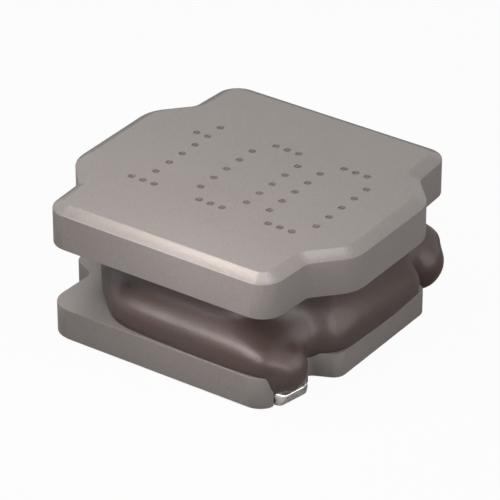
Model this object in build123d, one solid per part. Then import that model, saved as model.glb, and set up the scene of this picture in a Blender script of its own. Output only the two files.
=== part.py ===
from build123d import *
import os
from collections import namedtuple
from math import acos, atan2, cos, degrees, hypot, radians, sin, tan

# A wire-wound power inductor for surface mounting, semi-shielded.
# A pressed ferrite drum core carries a few turns of flat enamelled copper wire round its post.
# A magnetic resin coat fills the space between the two flanges, and runs down two slots.
# Both wire ends come down those slots, turn back under the lower flange and lie in grooves.
# Each groove is lined by a plated terminal, and solder buries the wire in it.
# Frame in millimetres: X along the long front edge, -Y the front, +Z up,
# z = 0 at the underside of the terminals.

# Heights of the drum core
PLATING = 0.04  # thickness of the plated terminals
LOWER_FLANGE = 0.59
WINDOW = 1.19  # clear height between the flanges
UPPER_FLANGE = 0.79

# Outline of the upper flange, as half widths and corner places
BODY_HALF_X = 3.0  # middle of each side, the widest place
BODY_HALF_Y = 2.837  # front and back edge
UPPER_EAR_X = 2.352  # half width of the front and back edge
UPPER_NOTCH_X = 2.415  # inner corner beside the ear
UPPER_NOTCH_Y = 1.757
UPPER_SIDE_Y = 1.119  # outer corner where the middle of the side starts
EAR_RADIUS = 0.425
NOTCH_RADIUS = 0.2
SIDE_RADIUS = 0.7
TOP_CHAMFER_INSET = 0.2385
TOP_CHAMFER_HEIGHT = 0.113

# Outline of the lower flange
LOWER_HALF_X = 2.84
LOWER_EAR_X = 2.352
LOWER_NOTCH_X = 2.31
LOWER_NOTCH_Y = 1.59
LOWER_SIDE_Y = 1.35
LOWER_SIDE_RADIUS = 0.25
UNDERSIDE_RECESS = 0.12  # the middle of the underside lies this much higher

# Post, slots and grooves
POST_RADIUS = 1.35
SLOT_CENTRE_Y = 2.2
SLOT_WIDTH = 0.75
SLOT_BOTTOM_X = 1.93  # how far in the slots reach
SLOT_CORNER = 0.1
GROOVE_WIDTH = 0.5
GROOVE_DEPTH = 0.345
GROOVE_END_X = -1.75  # blind end of each groove

# Terminals and solder
TERMINAL_INNER_Y = 1.65  # inner edge of each terminal
TERMINAL_INSET = 0.05  # bare rim between a terminal and the edges of the flange's underside
SOLDER_RECESS = 0.01  # solder stays this far above the seating plane
SOLDER_TOP = 0.3
SOLDER_OUTER_X = 2.6
SOLDER_SIDE_GAP = 0.02
SOLDER_CORNER = 0.2

# Wire and winding
WIRE_WIDTH = 0.3  # lies across the wire, away from the post
WIRE_THICKNESS = 0.18
ROW_GAP = 0.06
LAYER_GAP = 0.06  # between the layers, and between the inner layer and the post
WIRE_FIT = 0.01  # round the wire where resin or solder grips it
ROWS = 5
OUTER_STEPS = 3  # rows that the outer layer steps down before it leaves
STEP_ANGLE = -65.0  # degrees, where the turns of the inner layer step up a row
STEP_SPAN = 70.0  # degrees
CROSSING_SPAN = 50.0  # degrees, where the wire moves out to the outer layer
STEP_LENGTH = 0.4  # level distance in which the wire rises or drops by one row
STEP_BEND = 0.06  # how far from each corner its bend starts, here and below
SPAN_BEND_SHARE = 0.45  # bends at the ends of a span take up this share of its legs
LEAD_X = 2.2  # where the leads run down, inside the slots
LEAD_TURN_X = 1.5  # where the leads swing in towards the winding
LEAD_BEND = 0.25
LEAD_SWING = 0.2
LEAD_END_X = -1.6  # tip of the wire in its groove

# Resin coat
SHOULDER_HEIGHT = 0.52  # of the thick foot on the lower flange
SHOULDER_ROUND = 0.3
NECK_SLOPE = 12  # degrees that the neck widens downwards
FOOT_LEFT_X = 2.6
FOOT_LEFT_Y = 1.09
FOOT_FRONT_X = 1.03  # where the front of the foot meets its slanted corner
FOOT_FRONT_LEFT_Y = 2.59
FOOT_FRONT_RIGHT_Y = 2.77
FOOT_RIM = 0.04  # bare rim of the lower flange at its right side
FOOT_LEFT_RADIUS = 0.3
FOOT_FRONT_RADIUS = 0.4
NECK_FRONT_Y = 2.27
NECK_LEFT_X = 2.2
NECK_RIGHT_X = 2.5
NECK_CORNER = 1.15  # how far the neck's slanted corners reach along each side
NECK_RADIUS = 0.4
LOBE_RADIUS = 0.42
LOBE_TOP = 1.12
LOBE_TOP_ROUND = 0.36
LOBE_BELLY = 0.6  # height of the lobe's widest place
LOBE_BELLY_ROUND = 0.5
LOBE_FOOT_RADIUS = 0.35
WINDING_SPACE = 0.06  # between the outer layer and the resin

# Levels and radii that follow from the values above
LOWER_Z = PLATING
WINDOW_Z = LOWER_Z + LOWER_FLANGE
UPPER_Z = WINDOW_Z + WINDOW
TOP_Z = UPPER_Z + UPPER_FLANGE
ROW_PITCH = WIRE_THICKNESS + ROW_GAP
INNER_RADIUS = POST_RADIUS + LAYER_GAP + WIRE_WIDTH / 2
OUTER_RADIUS = INNER_RADIUS + WIRE_WIDTH + LAYER_GAP
FIRST_ROW_Z = WINDOW_Z + (WINDOW - (ROWS - 1) * ROW_PITCH) / 2
CROSSING_ANGLE = STEP_ANGLE + (STEP_SPAN + CROSSING_SPAN) / 2
OUTER_STEP_ANGLE = CROSSING_ANGLE + (STEP_SPAN + CROSSING_SPAN) / 2
GROOVE_TOP = LOWER_Z + GROOVE_DEPTH
LINING_TOP = GROOVE_TOP - PLATING
GROOVE_WIRE_Z = (LINING_TOP + SOLDER_RECESS) / 2

# A stretch of wire: where it starts, its heading, the direction of its width,
# and either its length or the centre, axis and angle of its bend
Run = namedtuple("Run", "start heading side length")
Bend = namedtuple("Bend", "start heading side centre axis degrees")


def outline(corners):
    """A closed face from (x, y, radius) corners."""
    points = [(x, y) for x, y, _ in corners]
    return make_face(FilletPolyline(*points, radius=[r for _, _, r in corners], close=True))


def flange_outline(ear_x, notch, side):
    """One flange seen from above: four ears, and a bulge in the middle of each side."""
    quarter = [(ear_x, BODY_HALF_Y, EAR_RADIUS), (*notch, NOTCH_RADIUS), side]
    right = [(x, -y, r) for x, y, r in quarter] + [(x, y, r) for x, y, r in reversed(quarter)]
    left = [(-x, -y, r) for x, y, r in right]
    return outline(right + left)


def upper_outline():
    side = (BODY_HALF_X, UPPER_SIDE_Y, SIDE_RADIUS)
    return flange_outline(UPPER_EAR_X, (UPPER_NOTCH_X, UPPER_NOTCH_Y), side)


def lower_outline():
    side = (LOWER_HALF_X, LOWER_SIDE_Y, LOWER_SIDE_RADIUS)
    return flange_outline(LOWER_EAR_X, (LOWER_NOTCH_X, LOWER_NOTCH_Y), side)


def raised(face, low, high):
    """A face drawn at z = 0, extruded from one level to another."""
    return Pos(0, 0, low) * extrude(face, amount=high - low)


def box_between(x, y, z):
    """A box from three (low, high) pairs."""
    size = [pair[1] - pair[0] for pair in (x, y, z)]
    centre = [(pair[0] + pair[1]) / 2 for pair in (x, y, z)]
    return Pos(*centre) * Box(*size)


def slot_cut(side):
    """The slot that lets a lead down through the lower flange."""
    block = box_between(
        (SLOT_BOTTOM_X, BODY_HALF_X),
        (side * SLOT_CENTRE_Y - SLOT_WIDTH / 2, side * SLOT_CENTRE_Y + SLOT_WIDTH / 2),
        (LOWER_Z, WINDOW_Z),
    )
    inner = block.edges().filter_by(Axis.Z).group_by(Axis.X)[0]
    return fillet(inner, SLOT_CORNER)


def groove_cut(side, shrink=0.0, low=LOWER_Z):
    """The groove under the lower flange; shrink leaves room for its plated lining."""
    half = GROOVE_WIDTH / 2 - shrink
    return box_between(
        (GROOVE_END_X + shrink, SLOT_BOTTOM_X),
        (side * SLOT_CENTRE_Y - half, side * SLOT_CENTRE_Y + half),
        (low, GROOVE_TOP - shrink),
    )


def drum_core():
    """Two flanges on a round post, pressed and fired as one piece of ferrite."""
    upper = raised(upper_outline(), UPPER_Z, TOP_Z)
    rim = upper.faces().sort_by(Axis.Z)[-1]
    upper = chamfer(rim.edges(), TOP_CHAMFER_INSET, TOP_CHAMFER_HEIGHT, reference=rim)
    lower = raised(lower_outline(), LOWER_Z, WINDOW_Z)
    land_y = TERMINAL_INNER_Y - TERMINAL_INSET
    lower -= box_between(
        (-BODY_HALF_X, BODY_HALF_X), (-land_y, land_y), (LOWER_Z, LOWER_Z + UNDERSIDE_RECESS)
    )
    for side in (-1, 1):
        lower -= slot_cut(side)
        lower -= groove_cut(side)
    post = Pos(0, 0, WINDOW_Z) * extrude(Circle(POST_RADIUS), amount=WINDOW)
    return lower + post + upper


def terminal(side):
    """A plated strip under the lower flange that also lines the groove."""
    strip = Pos(0, side * (TERMINAL_INNER_Y + BODY_HALF_Y) / 2) * Rectangle(
        2 * BODY_HALF_X, BODY_HALF_Y - TERMINAL_INNER_Y
    )
    face = offset(lower_outline(), -TERMINAL_INSET, kind=Kind.INTERSECTION) & strip
    plate = raised(face, 0, LOWER_Z) - Pos(0, 0, -LOWER_Z) * slot_cut(side)
    return plate + groove_cut(side) - groove_cut(side, PLATING, 0)


def solder(side, core, pad, wire_space):
    """Solder that buries the wire in its groove and stands in the mouth of the slot."""
    fill = groove_cut(side, PLATING, SOLDER_RECESS)
    half = SLOT_WIDTH / 2 - SOLDER_SIDE_GAP
    bead = box_between(
        (SLOT_BOTTOM_X, SOLDER_OUTER_X),
        (side * SLOT_CENTRE_Y - half, side * SLOT_CENTRE_Y + half),
        (SOLDER_RECESS, SOLDER_TOP),
    )
    bead = fillet(bead.edges().filter_by(Axis.Z).group_by(Axis.X)[-1], SOLDER_CORNER)
    return fill + bead - core - pad - wire_space


def on_circle(radius, angle, z):
    return Vector(radius * cos(radians(angle)), radius * sin(radians(angle)), z)


def clockwise_tangent(angle):
    return Vector(sin(radians(angle)), -cos(radians(angle)), 0)


def turn(radius, start, end, z):
    """A level bend that runs clockwise round the post, from one angle to a smaller one."""
    outward = on_circle(1, start, 0)
    return Bend(
        outward * radius + Vector(0, 0, z), clockwise_tangent(start), outward,
        Vector(0, 0, z), Vector(0, 0, -1), start - end,
    )


def bent_path(points, setbacks, side):
    """Straight runs joined by tangent bends, each starting its setback before the corner."""
    points = [Vector(*point) for point in points]
    pieces = []
    start = points[0]
    for before, corner, after, setback in zip(points, points[1:], points[2:], setbacks):
        back = (before - corner).normalized()
        ahead = (after - corner).normalized()
        half_angle = radians(back.get_angle(ahead)) / 2
        enter = corner + back * setback
        centre = corner + (back + ahead).normalized() * (setback / cos(half_angle))
        axis = ahead.cross(back)
        turned = 180 - 2 * degrees(half_angle)
        pieces.append(Run(start, -back, side, (enter - start).length))
        pieces.append(Bend(enter, -back, side, centre, axis, turned))
        side = side.rotate(Axis((0, 0, 0), axis), turned)
        start = corner + ahead * setback
    pieces.append(Run(start, ahead, side, (points[-1] - start).length))
    return pieces


def changeover(angle, span, radius_in, z_in, radius_out, z_out):
    """The stretch in which a turn moves on to the next row, or to the outer layer."""
    start = angle + span / 2
    end = angle - span / 2
    reach_in = radius_in * tan(radians(span / 4))
    reach_out = radius_out * tan(radians(span / 4))
    first = on_circle(radius_in, start, z_in)
    last = on_circle(radius_out, end, z_out)
    leg_end = first + clockwise_tangent(start) * reach_in
    leg_start = last - clockwise_tangent(end) * reach_out
    points = [first, leg_end, leg_start, last]
    setbacks = [SPAN_BEND_SHARE * reach_in, SPAN_BEND_SHARE * reach_out]
    if z_in != z_out:
        middle = (leg_end + leg_start) / 2
        half_step = clockwise_tangent(angle) * (STEP_LENGTH / 2)
        rise = Vector(0, 0, (z_out - z_in) / 2)
        points[2:2] = [middle - half_step - rise, middle + half_step + rise]
        setbacks[1:1] = [STEP_BEND, STEP_BEND]
    return bent_path(points, setbacks, on_circle(1, start, 0))


def touch_angle(radius):
    """The angle at which a lead, once it has swung in, touches a layer of the winding."""
    distance = hypot(LEAD_TURN_X, SLOT_CENTRE_Y)
    return degrees(atan2(SLOT_CENTRE_Y, LEAD_TURN_X) + acos(radius / distance))


def lead(side, radius, z):
    """The corners of a lead from the tip in its groove to the winding."""
    y = side * SLOT_CENTRE_Y
    return [
        (LEAD_END_X, y, GROOVE_WIRE_Z),
        (LEAD_X, y, GROOVE_WIRE_Z),
        (LEAD_X, y, z),
        (LEAD_TURN_X, y, z),
        on_circle(radius, side * touch_angle(radius), z),
    ]


def wire_path():
    """The whole wire: front groove, slot, inner layer, outer layer, slot, back groove."""
    levels = [FIRST_ROW_Z + row * ROW_PITCH for row in range(ROWS)]
    turns = [(INNER_RADIUS, z) for z in levels]
    turns += [(OUTER_RADIUS, z) for z in levels[::-1][: OUTER_STEPS + 1]]
    changes = [(STEP_ANGLE, STEP_SPAN)] * (ROWS - 1)
    changes += [(CROSSING_ANGLE, CROSSING_SPAN)]
    changes += [(OUTER_STEP_ANGLE, STEP_SPAN)] * OUTER_STEPS
    bends = [LEAD_BEND, LEAD_BEND, LEAD_SWING]
    pieces = bent_path(lead(-1, *turns[0]), bends, Vector(0, 1, 0))
    angle = -touch_angle(INNER_RADIUS)
    for (radius, z), (next_radius, next_z), (place, span) in zip(turns, turns[1:], changes):
        end = angle - (angle - place - span / 2) % 360
        pieces.append(turn(radius, angle, end, z))
        pieces += changeover(place, span, radius, z, next_radius, next_z)
        angle = end - span
    radius, z = turns[-1]
    leave = touch_angle(radius)
    pieces.append(turn(radius, angle, angle - (angle - leave) % 360, z))
    back = list(reversed(lead(1, radius, z)))
    return pieces + bent_path(back, bends[::-1], on_circle(1, leave, 0))


def flat_wire(extra=0.0):
    """The wire as one solid; extra thickens it all round to make the space it lies in."""
    section = Rectangle(WIRE_WIDTH + 2 * extra, WIRE_THICKNESS + 2 * extra)
    stretches = []
    for piece in wire_path():
        face = Plane(origin=piece.start, x_dir=piece.side, z_dir=piece.heading) * section
        if isinstance(piece, Run):
            stretches.append(extrude(face, amount=piece.length))
        else:
            axis = Axis(piece.centre, piece.axis)
            stretches.append(revolve(face, axis, revolution_arc=piece.degrees))
    return stretches[0] + stretches[1:]


def foot_outline():
    """The resin's foot on the lower flange: slanted at the left, out to the rim at the right."""
    ear_x = LOWER_EAR_X - FOOT_RIM
    notch_x = LOWER_NOTCH_X - FOOT_RIM
    half = [
        (-FOOT_LEFT_X, FOOT_LEFT_Y, FOOT_LEFT_RADIUS),
        (-FOOT_FRONT_X, FOOT_FRONT_LEFT_Y, FOOT_FRONT_RADIUS),
        (ear_x, FOOT_FRONT_RIGHT_Y, EAR_RADIUS),
        (notch_x, LOWER_NOTCH_Y, NOTCH_RADIUS),
        (LOWER_HALF_X - FOOT_RIM, LOWER_SIDE_Y, LOWER_SIDE_RADIUS),
    ]
    front = [(x, -y, r) for x, y, r in half]
    return outline(front + list(reversed(half)))


def neck_outline():
    """The narrow end of the resin's neck, under the upper flange."""
    half = [
        (-NECK_LEFT_X, NECK_FRONT_Y - NECK_CORNER, NECK_RADIUS),
        (-NECK_LEFT_X + NECK_CORNER, NECK_FRONT_Y, NECK_RADIUS),
        (NECK_RIGHT_X - NECK_CORNER, NECK_FRONT_Y, NECK_RADIUS),
        (NECK_RIGHT_X, NECK_FRONT_Y - NECK_CORNER, NECK_RADIUS),
    ]
    front = [(x, -y, r) for x, y, r in half]
    return outline(front + list(reversed(half)))


def lobe(side):
    """The drop of resin that runs down a slot round the lead."""
    profile = outline([
        (0, SOLDER_TOP, 0),
        (LOBE_FOOT_RADIUS, SOLDER_TOP, 0),
        (LOBE_RADIUS, LOBE_BELLY, LOBE_BELLY_ROUND),
        (LOBE_RADIUS, LOBE_TOP, LOBE_TOP_ROUND),
        (0, LOBE_TOP, 0),
    ])
    drop = Pos(LEAD_X, side * SLOT_CENTRE_Y) * revolve(Plane.XZ * profile, Axis.Z)
    middle = side * SLOT_CENTRE_Y
    inward = box_between(
        (0, SLOT_BOTTOM_X), (middle - SLOT_WIDTH, middle + SLOT_WIDTH), (0, WINDOW_Z)
    )
    return drop - inward


def resin_coating(core, wire_space):
    """Resin between the flanges, hollow where the winding sits."""
    foot = raised(foot_outline(), WINDOW_Z, WINDOW_Z + SHOULDER_HEIGHT)
    foot = fillet(foot.faces().sort_by(Axis.Z)[-1].edges(), SHOULDER_ROUND)
    roof = Pos(0, 0, UPPER_Z) * neck_outline()
    coat = foot + extrude(roof, amount=WINDOW, dir=(0, 0, -1), taper=-NECK_SLOPE)
    for side in (-1, 1):
        coat += lobe(side)
    cavity = OUTER_RADIUS + WIRE_WIDTH / 2 + WINDING_SPACE
    coat -= Pos(0, 0, WINDOW_Z) * extrude(Circle(cavity), amount=WINDOW)
    return coat - core - wire_space


def main():
    core = drum_core()
    wire_space = flat_wire(WIRE_FIT)
    parts = {
        "drum_core": core,
        "winding": flat_wire(),
        "resin_coating": resin_coating(core, wire_space),
    }
    for name, side in (("front", -1), ("back", 1)):
        pad = terminal(side)
        parts[f"terminal_{name}"] = pad
        parts[f"solder_{name}"] = solder(side, core, pad, wire_space)
    os.makedirs("parts", exist_ok=True)
    for name, part in parts.items():
        export_step(part, f"parts/{name}.step")


main()
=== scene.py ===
from math import cos, pi, radians, sin

import bmesh
import bpy
from bpy.props import FloatProperty, FloatVectorProperty, IntProperty, PointerProperty, StringProperty
from mathutils import Matrix, Vector


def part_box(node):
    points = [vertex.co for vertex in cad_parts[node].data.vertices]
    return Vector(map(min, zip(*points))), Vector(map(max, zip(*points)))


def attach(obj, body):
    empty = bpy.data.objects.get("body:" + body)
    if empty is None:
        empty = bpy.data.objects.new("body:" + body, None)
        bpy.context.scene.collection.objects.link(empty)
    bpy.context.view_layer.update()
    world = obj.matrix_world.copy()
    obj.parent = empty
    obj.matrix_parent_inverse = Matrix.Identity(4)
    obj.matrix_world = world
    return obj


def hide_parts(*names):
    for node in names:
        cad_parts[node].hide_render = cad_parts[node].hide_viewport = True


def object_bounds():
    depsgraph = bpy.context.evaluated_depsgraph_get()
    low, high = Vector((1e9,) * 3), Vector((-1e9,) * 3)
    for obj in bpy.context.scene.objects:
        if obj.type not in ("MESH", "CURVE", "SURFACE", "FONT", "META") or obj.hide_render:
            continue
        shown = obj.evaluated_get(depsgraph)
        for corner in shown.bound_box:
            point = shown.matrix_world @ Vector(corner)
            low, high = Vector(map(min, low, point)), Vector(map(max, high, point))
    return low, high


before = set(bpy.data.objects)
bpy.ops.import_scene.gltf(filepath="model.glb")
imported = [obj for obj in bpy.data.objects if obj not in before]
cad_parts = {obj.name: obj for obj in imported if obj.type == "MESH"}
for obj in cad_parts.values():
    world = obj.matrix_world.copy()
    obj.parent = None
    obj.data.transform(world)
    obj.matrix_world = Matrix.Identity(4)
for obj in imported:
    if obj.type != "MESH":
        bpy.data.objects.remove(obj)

bl_info = {
    "name": "Power Inductor",
    "version": (1, 0, 0),
    "blender": (4, 5, 0),
    "location": "View3D > Sidebar > Inductor",
    "description": "Dresses a drum-core power inductor: ferrite, resin coat, winding, terminals and solder",
    "category": "Object",
}

# Meshes are shaped in millimetres and brought to metres when they are finished.
MM = 0.001
CAD_LOW, CAD_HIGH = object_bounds()
CORE_TOP = (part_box("drum_core")[1] / MM).z


# Settings

class StageSettings(bpy.types.PropertyGroup):
    azimuth: FloatProperty(
        name="Azimuth", description="Camera direction round the part", default=radians(34.94),
        unit="ROTATION",
    )
    elevation: FloatProperty(
        name="Elevation", description="Camera height above the horizon", default=radians(30.283),
        unit="ROTATION",
    )
    distance: FloatProperty(
        name="Distance", description="From the camera to its aim", default=0.06441, unit="LENGTH",
    )
    lens: FloatProperty(
        name="Lens", description="Focal length of the camera", default=262.57, unit="CAMERA",
    )
    aim: FloatVectorProperty(
        name="Aim", description="Point that the camera looks at", default=(0.00001, 0.0, 0.001123),
        unit="LENGTH", subtype="XYZ",
    )


class FerriteSettings(bpy.types.PropertyGroup):
    colour: FloatVectorProperty(
        name="Ferrite", description="Colour of the fired ferrite", default=(0.168, 0.155, 0.151),
        subtype="COLOR", min=0, max=1,
    )
    edge_round: FloatProperty(
        name="Edge round", description="How far the tumbled edges are rounded, in millimetres",
        default=0.016,
    )
    marking: StringProperty(
        name="Marking", description="Plain number in dots on the top", default="100",
    )
    mark_colour: FloatVectorProperty(
        name="Mark", description="Colour of the burnt dots", default=(0.078, 0.058, 0.056),
        subtype="COLOR", min=0, max=1,
    )
    dot_size: FloatProperty(
        name="Dot size", description="Diameter of a marking dot, in millimetres", default=0.135,
    )
    dot_depth: FloatProperty(
        name="Dot depth", description="Depth of a marking dot, in millimetres", default=0.014,
    )
    dot_pitch_x: FloatProperty(
        name="Column pitch", description="Between columns of dots, in millimetres", default=0.243,
    )
    dot_pitch_y: FloatProperty(
        name="Row pitch", description="Between rows of dots, in millimetres", default=0.39,
    )
    digit_pitch: FloatProperty(
        name="Digit pitch", description="Between digits, in millimetres", default=1.45,
    )


class ResinSettings(bpy.types.PropertyGroup):
    colour: FloatVectorProperty(
        name="Resin", description="Colour of the magnetic resin", default=(0.052, 0.039, 0.036),
        subtype="COLOR", min=0, max=1,
    )
    grain: FloatProperty(
        name="Grain", description="Size of a voxel while the resin is shaped, in millimetres", default=0.04,
    )
    flow: IntProperty(
        name="Flow", description="Smoothing passes that let the resin run together", default=60, min=0,
    )


class WindingSettings(bpy.types.PropertyGroup):
    colour: FloatVectorProperty(
        name="Copper", description="Colour of the enamelled copper", default=(0.62, 0.24, 0.09),
        subtype="COLOR", min=0, max=1,
    )


class TinSettings(bpy.types.PropertyGroup):
    plating: FloatVectorProperty(
        name="Plating", description="Colour of the tin plating", default=(0.74, 0.73, 0.70),
        subtype="COLOR", min=0, max=1,
    )
    solder: FloatVectorProperty(
        name="Solder", description="Colour of the solder", default=(0.80, 0.79, 0.77),
        subtype="COLOR", min=0, max=1,
    )
    grain: FloatProperty(
        name="Grain", description="Size of a voxel while the solder is shaped, in millimetres", default=0.02,
    )


# Materials

# Places of the colour sockets on a Mix node, whose names it uses for other sockets too
MIX_FIRST = 6
MIX_SECOND = 7
MIX_RESULT = 2


class Nodes:
    """A short way to build one material's nodes. Lengths in patterns are in millimetres."""

    def __init__(self, name):
        self.material = bpy.data.materials.new(name)
        self.material.use_nodes = True
        self.tree = self.material.node_tree
        self.shader = self.tree.nodes["Principled BSDF"]
        coordinates = self.tree.nodes.new("ShaderNodeTexCoord")
        scale = self.tree.nodes.new("ShaderNodeMapping")
        scale.inputs["Scale"].default_value = (1 / MM, 1 / MM, 1 / MM)
        self.link(coordinates.outputs["Object"], scale.inputs["Vector"])
        self.place = scale.outputs["Vector"]

    def link(self, output, socket):
        self.tree.links.new(output, socket)

    def put(self, socket, value):
        """Links an output to a socket, or sets a plain value on it."""
        if isinstance(value, bpy.types.NodeSocket):
            self.link(value, socket)
        else:
            socket.default_value = value

    def finish(self, name, value):
        """Puts an output or a plain value on one of the shader's sockets."""
        self.put(self.shader.inputs[name], value)

    def noise(self, per_mm, detail=3.0, roughness=0.55):
        node = self.tree.nodes.new("ShaderNodeTexNoise")
        node.inputs["Scale"].default_value = per_mm
        node.inputs["Detail"].default_value = detail
        node.inputs["Roughness"].default_value = roughness
        self.link(self.place, node.inputs["Vector"])
        return node.outputs["Fac"]

    def cells(self, per_mm, output="Distance"):
        node = self.tree.nodes.new("ShaderNodeTexVoronoi")
        node.inputs["Scale"].default_value = per_mm
        self.link(self.place, node.inputs["Vector"])
        return node.outputs[output]

    def spread(self, value, low, high, to_low=0.0, to_high=1.0):
        """Brings a value from one range to another, held at both ends."""
        node = self.tree.nodes.new("ShaderNodeMapRange")
        self.link(value, node.inputs["Value"])
        node.inputs["From Min"].default_value = low
        node.inputs["From Max"].default_value = high
        node.inputs["To Min"].default_value = to_low
        node.inputs["To Max"].default_value = to_high
        return node.outputs["Result"]

    def add(self, one, other):
        node = self.tree.nodes.new("ShaderNodeMath")
        node.operation = "ADD"
        self.link(one, node.inputs[0])
        self.link(other, node.inputs[1])
        return node.outputs["Value"]

    def blend(self, factor, one, other, kind="MIX"):
        node = self.tree.nodes.new("ShaderNodeMix")
        node.data_type = "RGBA"
        node.blend_type = kind
        self.put(node.inputs["Factor"], factor)
        self.put(node.inputs[MIX_FIRST], one)
        self.put(node.inputs[MIX_SECOND], other)
        return node.outputs[MIX_RESULT]

    def bump(self, height, distance, under=None):
        """A bump of so many metres, on top of the bump under it if there is one."""
        node = self.tree.nodes.new("ShaderNodeBump")
        node.inputs["Strength"].default_value = 1.0
        node.inputs["Distance"].default_value = distance
        self.link(height, node.inputs["Height"])
        if under:
            self.link(under, node.inputs["Normal"])
        return node.outputs["Normal"]


def rgba(colour, share=1.0):
    """A colour for a socket, made darker or lighter by a share."""
    return tuple(channel * share for channel in colour) + (1.0,)


def ferrite_material(name, colour):
    """Fired ferrite: a fine grain, a few dark pores and faint cloudy patches."""
    make = Nodes(name)
    clouds = make.spread(make.noise(per_mm=0.55, detail=4.0), low=0.3, high=0.7)
    body = make.blend(clouds, rgba(colour, 0.955), rgba(colour, 1.045))
    grain = make.spread(make.noise(per_mm=34.0, detail=2.0, roughness=0.7), low=0.35, high=0.68)
    body = make.blend(grain, body, rgba(colour, 1.13))
    pores = make.cells(per_mm=9.0)
    shade = make.spread(pores, low=0.045, high=0.10, to_low=0.62, to_high=1.0)
    make.finish("Base Color", make.blend(1.0, body, shade, "MULTIPLY"))
    rub = make.noise(per_mm=2.2, detail=5.0, roughness=0.62)
    make.finish("Roughness", make.spread(rub, low=0.3, high=0.72, to_low=0.17, to_high=0.25))
    height = make.add(grain, make.spread(pores, low=0.03, high=0.11))
    make.finish("Normal", make.bump(height, distance=0.0000012))
    return make.material


def mark_material(name, colour):
    """The burnt floor of a marking dot."""
    make = Nodes(name)
    burnt = make.spread(make.noise(per_mm=26.0), low=0.35, high=0.65)
    make.finish("Base Color", make.blend(burnt, rgba(colour), rgba(colour, 1.5)))
    make.finish("Roughness", 0.6)
    make.finish("Normal", make.bump(burnt, distance=0.000003))
    return make.material


def resin_material(name, colour):
    """Cured resin filled with ferrite powder: glossy skin with fine grains in it."""
    make = Nodes(name)
    red, green, blue = colour
    warmer = (red * 1.12, green * 0.95, blue * 0.93)
    clouds = make.spread(make.noise(per_mm=1.1, detail=4.0), low=0.3, high=0.7)
    body = make.blend(clouds, rgba(warmer), rgba(colour, 1.06))
    grains = make.spread(make.cells(per_mm=30.0), low=0.05, high=0.24, to_low=1.0, to_high=0.0)
    make.finish("Base Color", make.blend(grains, body, rgba(colour, 1.9)))
    make.finish("Specular IOR Level", 0.42)
    flow = make.noise(per_mm=2.4, detail=3.0, roughness=0.5)
    make.finish("Roughness", make.spread(flow, low=0.3, high=0.7, to_low=0.30, to_high=0.40))
    skin = make.bump(flow, distance=0.000012)
    powder = make.noise(per_mm=45.0, detail=2.0)
    make.finish("Normal", make.bump(powder, distance=0.000002, under=skin))
    return make.material


def copper_material(name, colour):
    """Copper under a clear amber enamel, with a faint unevenness in its drawn surface."""
    make = Nodes(name)
    drawn = make.spread(make.noise(per_mm=9.0, detail=4.0, roughness=0.6), low=0.3, high=0.7)
    make.finish("Base Color", make.blend(drawn, rgba(colour, 0.88), rgba(colour, 1.08)))
    make.finish("Metallic", 1.0)
    make.finish("Roughness", make.spread(drawn, low=0.0, high=1.0, to_low=0.26, to_high=0.38))
    make.finish("Coat Weight", 0.8)
    make.finish("Coat Roughness", 0.12)
    make.finish("Coat Tint", (1.0, 0.72, 0.42, 1.0))
    make.finish("Normal", make.bump(drawn, distance=0.000002))
    return make.material


def tin_material(name, colour, per_mm, roughness, bump):
    """Dull tin or solder: frosty patches of crystals over a satin metal."""
    make = Nodes(name)
    frost = make.spread(make.noise(per_mm, detail=5.0, roughness=0.65), low=0.32, high=0.68)
    crystal = make.spread(make.cells(per_mm * 1.6, "Color"), low=0.2, high=0.8)
    tone = make.blend(frost, rgba(colour, 0.82), rgba(colour, 1.06))
    make.finish("Base Color", make.blend(crystal, tone, rgba(colour, 1.02)))
    make.finish("Metallic", 1.0)
    dull = make.spread(frost, low=0.0, high=1.0, to_low=roughness, to_high=roughness + 0.16)
    make.finish("Roughness", dull)
    make.finish("Normal", make.bump(frost, bump))
    return make.material


# Making of meshes

MERGE_DISTANCE = 0.0004
FLAT_ANGLE = radians(0.6)  # triangles that meet at less than this are one flat face
FACES_UP = 0.9999  # a face whose normal rises this much lies level


def merged_copy(node):
    """A CAD node's mesh in millimetres, with its loose triangles merged and flat faces whole."""
    bm = bmesh.new()
    bm.from_mesh(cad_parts[node].data)
    bmesh.ops.scale(bm, vec=(1 / MM, 1 / MM, 1 / MM), verts=bm.verts)
    bmesh.ops.remove_doubles(bm, verts=bm.verts, dist=MERGE_DISTANCE)
    bmesh.ops.dissolve_limit(bm, angle_limit=FLAT_ANGLE, verts=bm.verts, edges=bm.edges)
    return bm


def as_object(bm, name):
    """A mesh object, without the corner normals that a CAD mesh stores for its own edges."""
    mesh = bpy.data.meshes.new(name)
    bm.to_mesh(mesh)
    bm.free()
    stored = mesh.attributes.get("custom_normal")
    if stored:
        mesh.attributes.remove(stored)
    piece = bpy.data.objects.new(name, mesh)
    bpy.context.scene.collection.objects.link(piece)
    return piece


def apply_modifiers(piece):
    """Makes the modifiers' result the piece's own mesh."""
    view = bpy.context.evaluated_depsgraph_get()
    view.update()
    result = bpy.data.meshes.new_from_object(piece.evaluated_get(view))
    old = piece.data
    piece.modifiers.clear()
    piece.data = result
    bpy.data.meshes.remove(old)


def run_together(piece, voxel, share, passes):
    """Remeshes a piece in voxels and smooths it, as if it had flowed, with its other modifiers first."""
    voxels = piece.modifiers.new("voxels", "REMESH")
    voxels.mode = "VOXEL"
    voxels.voxel_size = voxel
    flow = piece.modifiers.new("flow", "SMOOTH")
    flow.factor = share
    flow.iterations = passes
    apply_modifiers(piece)


def cut_away(piece, *tools):
    """Cuts the tools out of the piece and removes them."""
    for tool in tools:
        cut = piece.modifiers.new("cut", "BOOLEAN")
        cut.operation = "DIFFERENCE"
        cut.solver = "EXACT"
        cut.material_mode = "TRANSFER"
        cut.object = tool
    apply_modifiers(piece)
    for tool in tools:
        bpy.data.objects.remove(tool)


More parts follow.
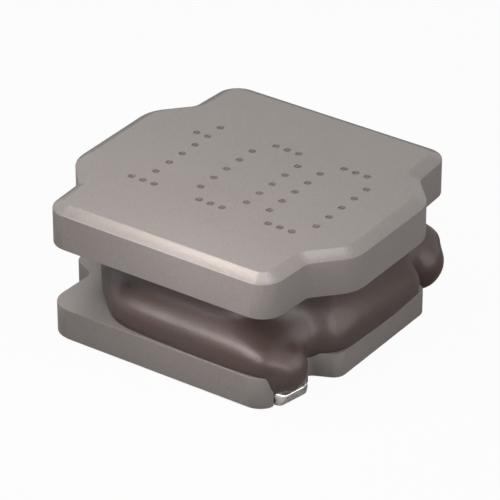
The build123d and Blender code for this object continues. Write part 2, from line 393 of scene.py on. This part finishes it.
def finish_piece(piece, smooth_angle, slot, *nodes):
    """Brings a piece to metres, smooths its shading and hands it to the frame."""
    piece.data.transform(Matrix.Scale(MM, 4))
    piece.data.set_sharp_from_angle(angle=smooth_angle)
    for face in piece.data.polygons:
        face.use_smooth = face.normal.z < FACES_UP
    flat = piece.modifiers.new("flat_faces", "WEIGHTED_NORMAL")
    flat.keep_sharp = True
    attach(piece, "root")
    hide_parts(*nodes)


def dress_node(node, material):
    """Gives a CAD node that stays its finish."""
    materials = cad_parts[node].data.materials
    materials.clear()
    materials.append(material)


# Ferrite core and its marking

CORE_EDGE_ANGLE = radians(20)  # edges that turn more than this are rounded
CORE_SMOOTH_ANGLE = radians(24)
LEVEL_SLACK = 0.001

DOT_COLUMNS = 5
DOT_ROWS = 7
DIGITS = {
    "0": (".###.", "#...#", "#...#", "#...#", "#...#", "#...#", ".###."),
    "1": ("..#..", ".##..", "..#..", "..#..", "..#..", "..#..", ".###."),
    "2": (".###.", "#...#", "....#", "..##.", ".#...", "#....", "#####"),
    "3": (".###.", "#...#", "....#", "..##.", "....#", "#...#", ".###."),
    "4": ("...#.", "..##.", ".#.#.", "#..#.", "#####", "...#.", "...#."),
    "5": ("#####", "#....", "####.", "....#", "....#", "#...#", ".###."),
    "6": (".###.", "#....", "#....", "####.", "#...#", "#...#", ".###."),
    "7": ("#####", "....#", "...#.", "...#.", "..#..", "..#..", "..#.."),
    "8": (".###.", "#...#", "#...#", ".###.", "#...#", "#...#", ".###."),
    "9": (".###.", "#...#", "#...#", ".####", "....#", "....#", ".###."),
}

# A dot's tool, in shares of the dot's radius, and the rise of its middle in shares of the depth
DOT_SIDES = 20
DOT_FOOT = 0.8
DOT_MOUTH = 1.25
DOT_INSETS = (0.34, 0.16)
DOT_MIDDLE_RISE = 0.65


def digit_middles(settings):
    """Where the middle of each digit lies along x."""
    digits = len(settings.marking)
    return [(index - (digits - 1) / 2) * settings.digit_pitch for index in range(digits)]


def dot_places(settings):
    """Centres of the marking's dots on the top face."""
    places = []
    for digit, middle in zip(settings.marking, digit_middles(settings)):
        for down, row in enumerate(DIGITS[digit]):
            for along, sign in enumerate(row):
                if sign == "#":
                    x = middle + (along - (DOT_COLUMNS - 1) / 2) * settings.dot_pitch_x
                    y = ((DOT_ROWS - 1) / 2 - down) * settings.dot_pitch_y
                    places.append((x, y))
    return places


def marking_cutter(settings):
    """One small tool for each dot: a shallow dish whose floor has a raised middle."""
    bm = bmesh.new()
    radius = settings.dot_size / 2
    for x, y in dot_places(settings):
        made = bmesh.ops.create_cone(
            bm, cap_ends=True, segments=DOT_SIDES, radius1=radius * DOT_FOOT, radius2=radius * DOT_MOUTH,
            depth=2 * settings.dot_depth, matrix=Matrix.Translation((x, y, CORE_TOP)),
        )
        faces = {face for vert in made["verts"] for face in vert.link_faces}
        floor = min(faces, key=lambda face: face.calc_center_median().z)
        for share in DOT_INSETS:
            bmesh.ops.inset_individual(bm, faces=[floor], thickness=radius * share)
        bmesh.ops.translate(bm, verts=floor.verts, vec=(0, 0, settings.dot_depth * DOT_MIDDLE_RISE))
    return as_object(bm, "marking_cutter")


def lines_between(count, pitch, middle=0.0):
    """Places of the lines before, between and after a number of evenly spaced dots."""
    return [middle + (k - count / 2) * pitch for k in range(count + 1)]


def part_top_face(bm, settings):
    """Parts the top face between the columns and rows of dots, so each cut stays in a plain face."""
    lines = [
        ((x, 0, 0), (1, 0, 0))
        for middle in digit_middles(settings)
        for x in lines_between(DOT_COLUMNS, settings.dot_pitch_x, middle)
    ]
    lines += [((0, y, 0), (0, 1, 0)) for y in lines_between(DOT_ROWS, settings.dot_pitch_y)]
    for place, outward in lines:
        tops = [
            face for face in bm.faces
            if face.normal.z > FACES_UP and face.verts[0].co.z > CORE_TOP - LEVEL_SLACK
        ]
        edges = dict.fromkeys(edge for face in tops for edge in face.edges)
        verts = dict.fromkeys(vert for face in tops for vert in face.verts)
        bmesh.ops.bisect_plane(bm, geom=[*tops, *edges, *verts], plane_co=place, plane_no=outward)


class INDUCTOR_OT_ferrite_core(bpy.types.Operator):
    """The drum core with softened edges and its dotted number"""
    bl_idname = "inductor.ferrite_core"
    bl_label = "Ferrite Core"

    def execute(self, context):
        settings = context.scene.inductor_ferrite
        bm = merged_copy("drum_core")
        sharp = [
            edge for edge in bm.edges
            if len(edge.link_faces) == 2 and edge.calc_face_angle() > CORE_EDGE_ANGLE and edge.is_convex
        ]
        bmesh.ops.bevel(
            bm, geom=sharp, offset=settings.edge_round, offset_type="OFFSET", segments=2, profile=0.5,
            affect="EDGES", material=-1, clamp_overlap=True,
        )
        part_top_face(bm, settings)
        core = as_object(bm, "ferrite_core")
        core.data.materials.append(ferrite_material("fired_ferrite", settings.colour))
        cutter = marking_cutter(settings)
        cutter.data.materials.append(mark_material("burnt_mark", settings.mark_colour))
        cut_away(core, cutter)
        finish_piece(core, CORE_SMOOTH_ANGLE, "ferrite", "drum_core")
        return {"FINISHED"}


# Resin coat

COAT_LEVELS = 3
COAT_FLOW = 0.6  # share of the way to its neighbours' middle that a point moves in one pass
COAT_SMOOTH_ANGLE = radians(50)
SIDE_X = 2  # the coat's right side lies beyond this x
SIDE_Y = 2  # and ends before this y


def raise_rings(bm, rings):
    """A closed form from rings of (x, y, z) corners: each ring is extruded on from the one before."""
    face = bm.faces.new([bm.verts.new(corner) for corner in rings[0]])
    raised = []
    for ring in rings[1:]:
        made = bmesh.ops.extrude_face_region(bm, geom=[face])
        face = next(item for item in made["geom"] if isinstance(item, bmesh.types.BMFace))
        for corner, vert in zip(ring, face.verts):
            vert.co = corner
        raised.append(face)
    # Only the last face closes the form: the others lie inside it.
    bmesh.ops.delete(bm, geom=raised[:-1], context="FACES_ONLY")


def coat_ring(z, half, sink=0.0):
    """One level of the coat, from the corners of its front half; its right side may sink at the back."""
    front = [(x, -y, z) for x, y in half]
    back = [(x, y, z - (sink if x > SIDE_X and y < SIDE_Y else 0)) for x, y in reversed(half)]
    return front + back


# Levels of the coat, from the lower flange up to the neck under the upper one
COAT_RINGS = (
    coat_ring(0.30, (
        (-2.45, 0.4), (-2.42, 1.02), (-1.20, 2.38), (-0.85, 2.52), (0.6, 2.60), (1.70, 2.62),
        (1.98, 2.50), (2.15, 1.60), (2.35, 1.42), (2.68, 1.25), (2.74, 0.5),
    )),
    coat_ring(0.60, (
        (-2.62, 0.4), (-2.60, 1.06), (-1.24, 2.58), (-0.86, 2.78), (0.6, 2.82), (2.05, 2.84),
        (2.34, 2.70), (2.30, 1.68), (2.50, 1.54), (2.83, 1.36), (2.85, 0.5),
    )),
    coat_ring(0.91, (
        (-2.64, 0.4), (-2.62, 1.08), (-1.24, 2.62), (-0.86, 2.83), (0.6, 2.86), (2.18, 2.86),
        (2.50, 2.76), (2.34, 1.66), (2.52, 1.52), (2.89, 1.34), (2.92, 0.5),
    ), sink=0.10),
    coat_ring(1.11, (
        (-2.46, 0.4), (-2.44, 1.10), (-1.22, 2.50), (-0.84, 2.72), (0.6, 2.76), (1.90, 2.76),
        (2.24, 2.54), (2.26, 1.60), (2.48, 1.45), (2.84, 1.26), (2.88, 0.5),
    ), sink=0.18),
    coat_ring(1.31, (
        (-2.30, 0.4), (-2.30, 1.06), (-1.20, 2.14), (-0.80, 2.29), (0.5, 2.34), (1.40, 2.35),
        (1.75, 2.20), (2.16, 1.50), (2.40, 1.36), (2.70, 1.16), (2.74, 0.5),
    ), sink=0.12),
    coat_ring(1.60, (
        (-2.27, 0.4), (-2.27, 1.08), (-1.20, 2.16), (-0.80, 2.27), (0.3, 2.29), (1.20, 2.29),
        (1.55, 2.14), (2.10, 1.46), (2.36, 1.30), (2.66, 1.10), (2.68, 0.5),
    )),
    coat_ring(2.15, (
        (-2.29, 0.4), (-2.29, 1.10), (-1.20, 2.21), (-0.80, 2.33), (0.3, 2.35), (1.20, 2.35),
        (1.55, 2.18), (2.12, 1.46), (2.38, 1.30), (2.68, 1.10), (2.70, 0.5),
    )),
)

# Each drop: its side, -1 for the front, its place in x and y, and its outline as (radius, height)
DROPS = (
    (-1, (2.17, 2.20), (
        (0, 0.20), (0.36, 0.20), (0.47, 0.42), (0.50, 0.66), (0.45, 0.86), (0.28, 1.00), (0, 1.05),
    )),
    (1, (2.08, 2.25), (
        (0, 0.02), (0.24, 0.02), (0.40, 0.19), (0.50, 0.40), (0.51, 0.58), (0.44, 0.78), (0.28, 0.92),
        (0, 0.97),
    )),
)
DROP_STEPS = 32
DROP_MERGE = 0.0005
DROP_FOOT = 0.1  # a swollen drop also reaches lower where its outline lies under this height
DROP_SWELL = 0.07

# The room of a slot in x, y and z, and the round hollow that the winding fills
SLOT = ((1.86, 3.2), (1.78, 2.64), (-0.1, 0.629))
CAVITY_RADIUS = 2.13
CAVITY_DEPTH = 3.0
CAVITY_MIDDLE = 1.2
CAVITY_SIDES = 64


def drop_of_resin(side, place, profile, swell=0.0):
    """The drop that runs down a slot round the lead, turned from its outline; a tool is swollen."""
    bm = bmesh.new()
    verts = [
        bm.verts.new((radius + (swell if radius else 0), 0, z - (swell if z < DROP_FOOT else 0)))
        for radius, z in profile
    ]
    edges = [bm.edges.new(pair) for pair in zip(verts, verts[1:])]
    bmesh.ops.spin(
        bm, geom=verts + edges, cent=(0, 0, 0), axis=(0, 0, 1), angle=2 * pi, steps=DROP_STEPS,
        use_merge=True,
    )
    bmesh.ops.remove_doubles(bm, verts=bm.verts, dist=DROP_MERGE)
    bmesh.ops.recalc_face_normals(bm, faces=bm.faces)
    bmesh.ops.translate(bm, verts=bm.verts, vec=(place[0], side * place[1], 0))
    return as_object(bm, "drop")


def slot_room(side, place, profile):
    """The part of a slot that stays free beside its drop."""
    bm = bmesh.new()
    (x0, x1), (y0, y1), (z0, z1) = SLOT
    middle = Matrix.Translation(((x0 + x1) / 2, side * (y0 + y1) / 2, (z0 + z1) / 2))
    bmesh.ops.create_cube(bm, size=1, matrix=middle @ Matrix.Diagonal((x1 - x0, y1 - y0, z1 - z0, 1)))
    room = as_object(bm, "slot_room")
    cut_away(room, drop_of_resin(side, place, profile, DROP_SWELL))
    return room


def winding_room():
    """The round hollow that the winding fills inside the coat."""
    bm = bmesh.new()
    bmesh.ops.create_cone(
        bm, cap_ends=True, segments=CAVITY_SIDES, radius1=CAVITY_RADIUS, radius2=CAVITY_RADIUS,
        depth=CAVITY_DEPTH, matrix=Matrix.Translation((0, 0, CAVITY_MIDDLE)),
    )
    return as_object(bm, "winding_room")


class INDUCTOR_OT_resin_coat(bpy.types.Operator):
    """The magnetic resin between the flanges, run together as it cured"""
    bl_idname = "inductor.resin_coat"
    bl_label = "Resin Coat"

    def execute(self, context):
        settings = context.scene.inductor_resin
        bm = bmesh.new()
        raise_rings(bm, COAT_RINGS)
        bmesh.ops.recalc_face_normals(bm, faces=bm.faces)
        coat = as_object(bm, "resin_coat")
        round_off = coat.modifiers.new("round_off", "SUBSURF")
        round_off.levels = round_off.render_levels = COAT_LEVELS
        drops = [drop_of_resin(*drop) for drop in DROPS]
        for drop in drops:
            join = coat.modifiers.new("join", "BOOLEAN")
            join.operation = "UNION"
            join.solver = "EXACT"
            join.object = drop
        run_together(coat, settings.grain, COAT_FLOW, settings.flow)
        for drop in drops:
            bpy.data.objects.remove(drop)
        rooms = [slot_room(*drop) for drop in DROPS]
        core = as_object(merged_copy("drum_core"), "core_tool")
        cut_away(coat, core, winding_room(), *rooms)
        coat.data.materials.clear()
        coat.data.materials.append(resin_material("cured_resin", settings.colour))
        finish_piece(coat, COAT_SMOOTH_ANGLE, "magnetic_resin", "resin_coating")
        return {"FINISHED"}


# Winding, terminals and solder

# Each bead: its side, then the planes where it ends, as a point and the way out of the bead
BEADS = (
    ("front", ((2.2, -2.52, 0), (0.2, -1, -0.5)), ((2.44, -2.2, 0), (1, -0.2, -0.5))),
    ("back", ((2.02, 0, 0), (1, 0, -0.4))),
)
BEAD_FLOW = 0.5
BEAD_PASSES = 40
BEAD_SMOOTH_ANGLE = radians(60)


class INDUCTOR_OT_winding(bpy.types.Operator):
    """The flat enamelled wire of the winding"""
    bl_idname = "inductor.winding"
    bl_label = "Winding"

    def execute(self, context):
        dress_node("winding", copper_material("enamelled_wire", context.scene.inductor_winding.colour))
        return {"FINISHED"}


class INDUCTOR_OT_terminals(bpy.types.Operator):
    """The two plated terminals under the lower flange"""
    bl_idname = "inductor.terminals"
    bl_label = "Terminals"

    def execute(self, context):
        colour = context.scene.inductor_tin.plating
        plating = tin_material("tin_plate", colour, per_mm=3.2, roughness=0.30, bump=0.000002)
        for side in ("front", "back"):
            dress_node(f"terminal_{side}", plating)
        return {"FINISHED"}


class INDUCTOR_OT_solder(bpy.types.Operator):
    """The solder beads in the grooves, drawn in round the leads"""
    bl_idname = "inductor.solder"
    bl_label = "Solder"

    def execute(self, context):
        settings = context.scene.inductor_tin
        alloy = tin_material("solder_alloy", settings.solder, per_mm=5.5, roughness=0.20, bump=0.000006)
        for side, *planes in BEADS:
            bm = merged_copy(f"solder_{side}")
            for end, outward in planes:
                whole = bm.verts[:] + bm.edges[:] + bm.faces[:]
                bmesh.ops.bisect_plane(bm, geom=whole, plane_co=end, plane_no=outward, clear_outer=True)
                bmesh.ops.holes_fill(bm, edges=[edge for edge in bm.edges if edge.is_boundary], sides=0)
            bmesh.ops.recalc_face_normals(bm, faces=bm.faces)
            bead = as_object(bm, f"solder_bead_{side}")
            run_together(bead, settings.grain, BEAD_FLOW, BEAD_PASSES)
            bead.data.materials.append(alloy)
            finish_piece(bead, BEAD_SMOOTH_ANGLE, "solder", f"solder_{side}")
        return {"FINISHED"}


# Stage

# Each light: name, place in millimetres, size in millimetres, power in watts, colour
LIGHTS = (
    ("chamfer_card", (-11.0, -1.0, 28.0), (8.5, 8.5), 0.0029, (1.0, 0.90, 0.78)),
    ("top_soft", (0.5, 7.0, 38.0), (16.0, 16.0), 0.0031, (1.0, 0.99, 0.98)),
    ("right_card", (17.0, 1.0, 6.0), (22.0, 22.0), 0.0025, (1.0, 0.95, 0.93)),
    ("front_card", (1.4, -5.6, 4.1), (3.0, 3.0), 0.000155, (1.0, 0.94, 0.91)),
    ("ridge_card", (-7.0, -9.8, 13.4), (6.5, 6.5), 0.00125, (1.0, 0.95, 0.92)),
    ("drop_card", (0.5, -7.5, 11.0), (4.5, 4.5), 0.00034, (1.0, 0.95, 0.92)),
    ("bump_card", (9.6, -6.2, 5.2), (3.0, 3.0), 0.00014, (1.0, 0.95, 0.92)),
)
WORLD_LIGHT = 0.12  # what the world gives to rays that don't show the background
CLIP_START = 0.001
CLIP_END = 10.0
SENSOR_WIDTH = 36.0
FLOOR_HALF_WIDTH = 0.6
FLOOR_GAP = 0.000001  # the floor lies this far under the part
FLOOR_GREY = 0.30
FLOOR_WHITE_SHARE = 0.96  # of what the camera sees there; the rest keeps the shadow


def area_light(name, place, aim, size, power, colour):
    """A softbox at a place, turned towards the part."""
    lamp = bpy.data.lights.new(name, "AREA")
    lamp.shape = "RECTANGLE"
    lamp.size, lamp.size_y = (length * MM for length in size)
    lamp.energy = power
    lamp.color = colour
    light = bpy.data.objects.new(name, lamp)
    light.visible_camera = False
    bpy.context.scene.collection.objects.link(light)
    light.location = place
    light.rotation_mode = "QUATERNION"
    light.rotation_quaternion = (place - aim).to_track_quat("Z", "Y")


def add_camera(settings):
    """The camera at the photograph's angle. An azimuth of zero looks from the front."""
    camera = bpy.data.objects.new("camera", bpy.data.cameras.new("camera"))
    bpy.context.scene.collection.objects.link(camera)
    azimuth, elevation = settings.azimuth, settings.elevation
    towards = Vector((
        sin(azimuth) * cos(elevation), -cos(azimuth) * cos(elevation), sin(elevation),
    ))
    camera.location = Vector(settings.aim) + towards * settings.distance
    camera.rotation_mode = "QUATERNION"
    camera.rotation_quaternion = towards.to_track_quat("Z", "Y")
    camera.data.sensor_width = SENSOR_WIDTH
    camera.data.lens = settings.lens
    camera.data.clip_start = CLIP_START
    camera.data.clip_end = CLIP_END
    bpy.context.scene.camera = camera


def floor_material():
    """White to the camera, with a share of plain floor that keeps the shadow."""
    material = bpy.data.materials.new("pale_floor")
    material.use_nodes = True
    tree = material.node_tree
    shader = tree.nodes["Principled BSDF"]
    shader.inputs["Base Color"].default_value = (FLOOR_GREY, FLOOR_GREY, FLOOR_GREY, 1.0)
    shader.inputs["Roughness"].default_value = 0.9
    shader.inputs["Specular IOR Level"].default_value = 0.1
    white = tree.nodes.new("ShaderNodeEmission")
    white.inputs["Strength"].default_value = 1.0
    path = tree.nodes.new("ShaderNodeLightPath")
    share = tree.nodes.new("ShaderNodeMapRange")
    share.inputs["To Max"].default_value = FLOOR_WHITE_SHARE
    mix = tree.nodes.new("ShaderNodeMixShader")
    tree.links.new(path.outputs["Is Camera Ray"], share.inputs["Value"])
    tree.links.new(share.outputs["Result"], mix.inputs["Fac"])
    tree.links.new(shader.outputs["BSDF"], mix.inputs[1])
    tree.links.new(white.outputs["Emission"], mix.inputs[2])
    tree.links.new(mix.outputs["Shader"], tree.nodes["Material Output"].inputs["Surface"])
    return material


def world_nodes(tree):
    """White to the camera and in gloss and glass, and a low plain light for everything else."""
    background = tree.nodes["Background"]
    background.inputs["Color"].default_value = (1, 1, 1, 1)
    path = tree.nodes.new("ShaderNodeLightPath")
    shows = path.outputs["Is Camera Ray"]
    for ray in ("Is Transmission Ray", "Is Glossy Ray"):
        either = tree.nodes.new("ShaderNodeMath")
        either.operation = "MAXIMUM"
        tree.links.new(shows, either.inputs[0])
        tree.links.new(path.outputs[ray], either.inputs[1])
        shows = either.outputs["Value"]
    strength = tree.nodes.new("ShaderNodeMapRange")
    strength.inputs["To Min"].default_value = WORLD_LIGHT
    strength.inputs["To Max"].default_value = 1.0
    tree.links.new(shows, strength.inputs["Value"])
    tree.links.new(strength.outputs["Result"], background.inputs["Strength"])


class INDUCTOR_OT_stage(bpy.types.Operator):
    """Floor, lights, background and camera"""
    bl_idname = "inductor.stage"
    bl_label = "Stage"

    def execute(self, context):
        settings = context.scene.inductor_stage
        add_camera(settings)

        bm = bmesh.new()
        bmesh.ops.create_grid(bm, x_segments=1, y_segments=1, size=FLOOR_HALF_WIDTH)
        floor = as_object(bm, "floor")
        floor.location.z = CAD_LOW.z - FLOOR_GAP
        floor.data.materials.append(floor_material())

        world = bpy.data.worlds.new("studio")
        world.use_nodes = True
        context.scene.world = world
        world_nodes(world.node_tree)
        context.scene.view_settings.view_transform = "Standard"

        for name, place, size, power, colour in LIGHTS:
            area_light(name, Vector(place) * MM, Vector(settings.aim), size, power, colour)
        return {"FINISHED"}


# Panel and registration

class INDUCTOR_PT_parts(bpy.types.Panel):
    """Lists the inductor's pieces and their settings"""
    bl_idname = "INDUCTOR_PT_parts"
    bl_label = "Inductor"
    bl_space_type = "VIEW_3D"
    bl_region_type = "UI"
    bl_category = "Inductor"

    def draw(self, context):
        for group, operators in GROUPS.items():
            box = self.layout.box()
            for operator in operators:
                box.operator(operator.bl_idname)
            settings = getattr(context.scene, group)
            for name in settings.bl_rna.properties.keys():
                if name not in ("rna_type", "name"):
                    box.prop(settings, name)


SETTINGS = {
    "inductor_ferrite": FerriteSettings,
    "inductor_resin": ResinSettings,
    "inductor_winding": WindingSettings,
    "inductor_tin": TinSettings,
    "inductor_stage": StageSettings,
}
GROUPS = {
    "inductor_ferrite": (INDUCTOR_OT_ferrite_core,),
    "inductor_resin": (INDUCTOR_OT_resin_coat,),
    "inductor_winding": (INDUCTOR_OT_winding,),
    "inductor_tin": (INDUCTOR_OT_terminals, INDUCTOR_OT_solder),
    "inductor_stage": (INDUCTOR_OT_stage,),
}
CLASSES = (
    *SETTINGS.values(), *(operator for group in GROUPS.values() for operator in group), INDUCTOR_PT_parts,
)


def register():
    for cls in CLASSES:
        bpy.utils.register_class(cls)
    for name, group in SETTINGS.items():
        setattr(bpy.types.Scene, name, PointerProperty(type=group))


def unregister():
    for name in SETTINGS:
        delattr(bpy.types.Scene, name)
    for cls in reversed(CLASSES):
        bpy.utils.unregister_class(cls)


def main():
    register()
    bpy.ops.inductor.stage()
    bpy.ops.inductor.ferrite_core()
    bpy.ops.inductor.resin_coat()
    bpy.ops.inductor.winding()
    bpy.ops.inductor.terminals()
    bpy.ops.inductor.solder()


if __name__ == "__main__":
    main()
